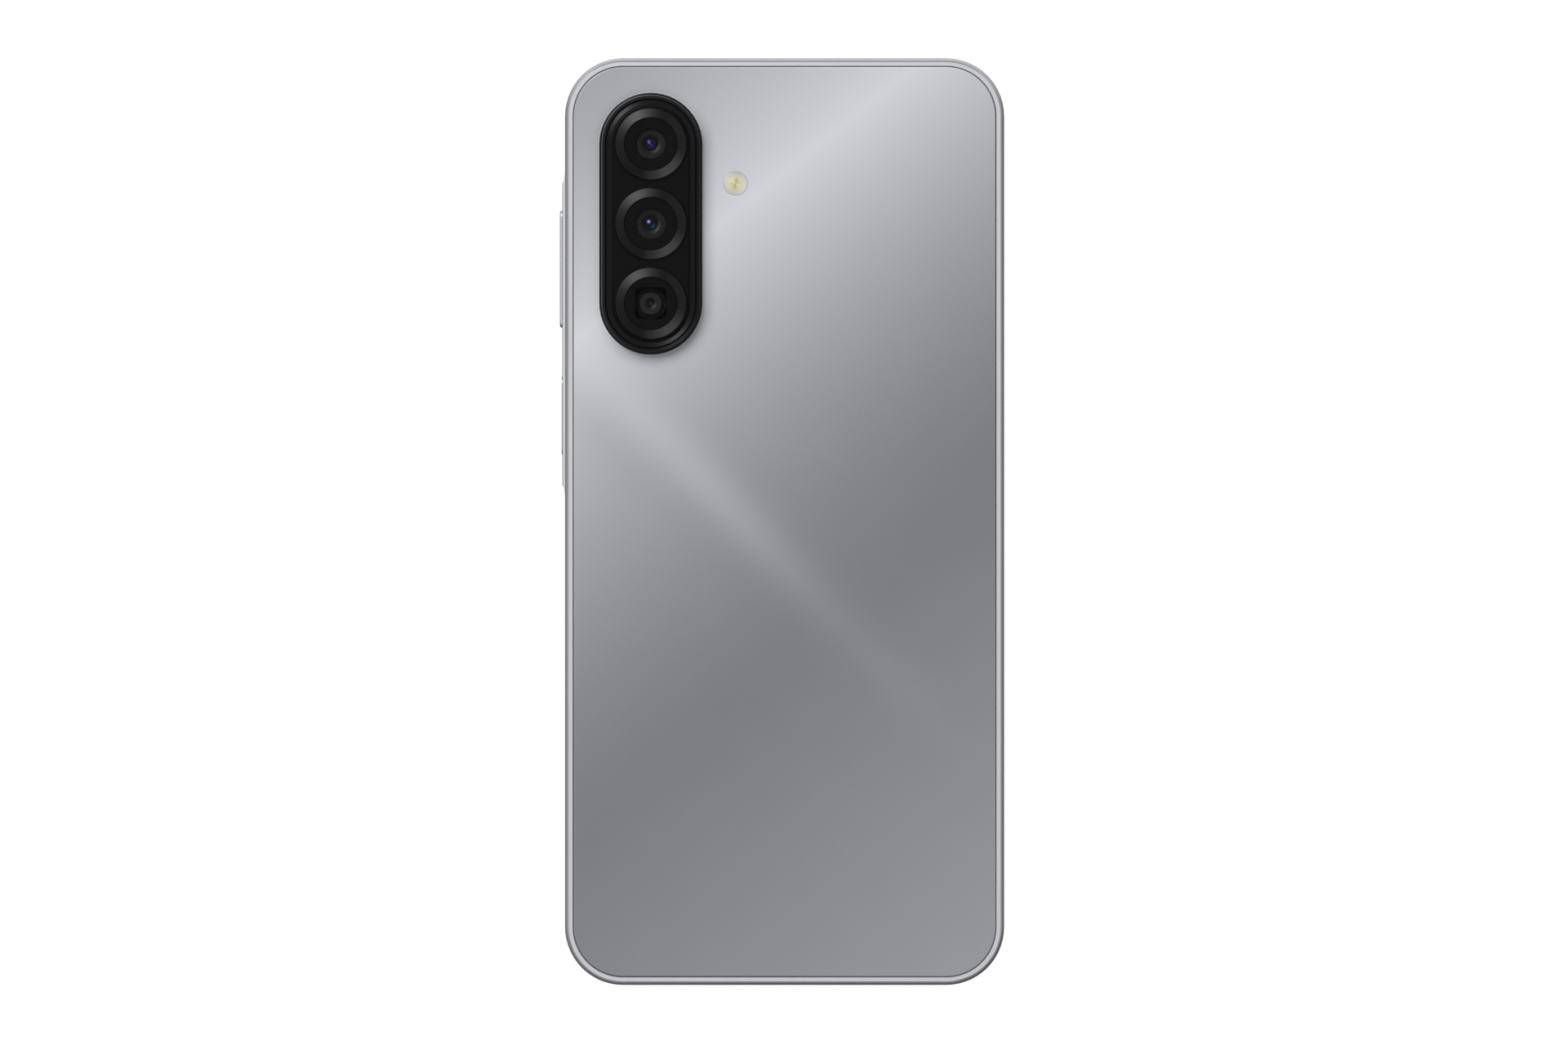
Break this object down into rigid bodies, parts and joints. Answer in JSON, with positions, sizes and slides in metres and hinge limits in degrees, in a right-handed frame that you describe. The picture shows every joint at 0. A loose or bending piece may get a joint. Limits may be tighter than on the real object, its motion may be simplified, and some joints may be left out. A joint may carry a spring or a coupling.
{
  "type": "smartphone",
  "caption": "Slim bar smartphone with a flat back, a raised pill-shaped camera island, side keys on a raised strip and a slide-out SIM tray.",
  "frame": {"origin": "centre of the display glass's outer face, on which the phone lies", "axes": "+Z out of the back, +Y towards the top edge with the cameras, +X to the right as seen from the back"},
  "size_m": [0.0788, 0.1644, 0.009],
  "materials": {
    "frame_plastic": "satin moulded plastic, pale grey",
    "key_finish": "satin metallised plastic, pale grey",
    "sensor_cap": "smooth satin cap over a touch sensor",
    "cover_plastic": "polished glass-fibre plastic with a fine pearl grain, grey",
    "adhesive_tape": "black foam tape",
    "display_glass": "polished toughened glass",
    "display_panel": "unlit display, black",
    "black_foam": "black foam sheet with copper backing",
    "flex_film": "amber polyimide film",
    "black_mesh": "fine black woven mesh",
    "module_plastic": "black moulded plastic",
    "lens_glass": "coated lens glass, blue to violet reflections",
    "surround_metal": "near-black metal with a fine grooved floor",
    "camera_glass": "opaque black glass, polished",
    "ring_metal": "dark spun anodised ring",
    "window_glass": "clear cover glass with a black printed border",
    "flash_clear": "clear moulded lens",
    "flash_phosphor": "yellow phosphor on a white base",
    "circuit_board": "green solder mask",
    "chip_black": "black moulded chips",
    "plate_alloy": "bead-blasted alloy",
    "sheet_steel": "bright pressed sheet",
    "screw_steel": "dark plated steel",
    "battery_pouch": "laminated pouch with a dark wrap",
    "cable_black": "black jacket",
    "seal_rubber": "soft grey rubber",
    "rotor_weight": "sintered heavy alloy"
  },
  "bodies": {
    "phone": {"side_frame": "frame_plastic", "mid_plate": "plate_alloy", "back_cover": "cover_plastic", "back_cover_adhesive": "adhesive_tape", "display_glass": "display_glass", "display_adhesive": "adhesive_tape", "display_panel": "display_panel", "display_foam": "black_foam", "display_flex": "flex_film", "acoustic_meshes": "black_mesh", "earpiece": "module_plastic", "front_camera": "module_plastic", "front_camera_lens": "lens_glass", "camera_surround": "surround_metal", "camera_glass": "camera_glass", "ultrawide_ring": "ring_metal", "main_ring": "ring_metal", "macro_ring": "ring_metal", "ultrawide_window": "window_glass", "main_window": "window_glass", "macro_window": "window_glass", "ultrawide_camera": "module_plastic", "ultrawide_lens": "lens_glass", "main_camera": "module_plastic", "macro_camera": "module_plastic", "macro_lens": "lens_glass", "flash_lens": "flash_clear", "flash_led": "flash_phosphor", "main_board": "circuit_board", "board_chips": "chip_black", "board_shields": "sheet_steel", "sim_reader": "sheet_steel", "battery": "battery_pouch", "battery_tape": "adhesive_tape", "upper_bracket": "module_plastic", "lower_bracket": "module_plastic", "nfc_sheet": "flex_film", "screws": "screw_steel", "main_flex": "flex_film", "antenna_cable": "cable_black", "sub_board": "circuit_board", "usb_port": "sheet_steel", "usb_tongue": "module_plastic", "speaker_box": "module_plastic", "speaker_driver": "module_plastic", "vibration_motor_can": "sheet_steel", "side_key_flex": "flex_film", "key_domes": "sheet_steel", "side_key_bracket": "sheet_steel"},
    "volume_key": {"volume_key": "key_finish"},
    "power_key": {"power_key": "key_finish", "fingerprint_sensor": "sensor_cap"},
    "sim_tray": {"sim_tray": "frame_plastic", "sim_tray_seal": "seal_rubber"},
    "eject_rod": {"eject_rod": "sheet_steel"},
    "eject_lever": {"eject_lever": "sheet_steel"},
    "vibration_rotor": {"vibration_rotor": "rotor_weight"},
    "focus_carrier": {"main_lens_barrel": "module_plastic", "main_lens": "lens_glass"}
  },
  "joints": [
    {"name": "volume_key_rock", "type": "hinge", "parent": "phone", "child": "volume_key", "pos_m": [-0.0379, 0.04485, 0.00375], "axis": [0, 0, 1], "range_deg": [-1.1, 1.1], "stiffness_Nm_per_rad": 0.3},
    {"name": "power_key_press", "type": "slide", "parent": "phone", "child": "power_key", "axis": [1, 0, 0], "range_m": [0, 0.0002], "stiffness_N_per_m": 4000, "springref_m": -0.00005},
    {"name": "sim_tray_slide", "type": "slide", "parent": "phone", "child": "sim_tray", "axis": [1, 0, 0], "range_m": [0, 0.031]},
    {"name": "eject_rod_slide", "type": "slide", "parent": "phone", "child": "eject_rod", "axis": [-1, 0, 0], "range_m": [0, 0.0015]},
    {"name": "eject_lever_turn", "type": "hinge", "parent": "phone", "child": "eject_lever", "pos_m": [0.0054, 0.0612, 0.00395], "axis": [0, 0, 1], "range_deg": [0, 26]},
    {"name": "motor_spin", "type": "hinge", "parent": "phone", "child": "vibration_rotor", "pos_m": [0.024, -0.0695, 0.0046], "axis": [0, 0, 1], "continuous": true},
    {"name": "focus_slide", "type": "slide", "parent": "phone", "child": "focus_carrier", "axis": [0, 0, 1], "range_m": [0, 0.0003], "stiffness_N_per_m": 60, "springref_m": -0.0002}
  ],
  "couplings": [
    {"joint": "eject_lever_turn", "follows": "eject_rod_slide", "rad_per_m": 302}
  ]
}
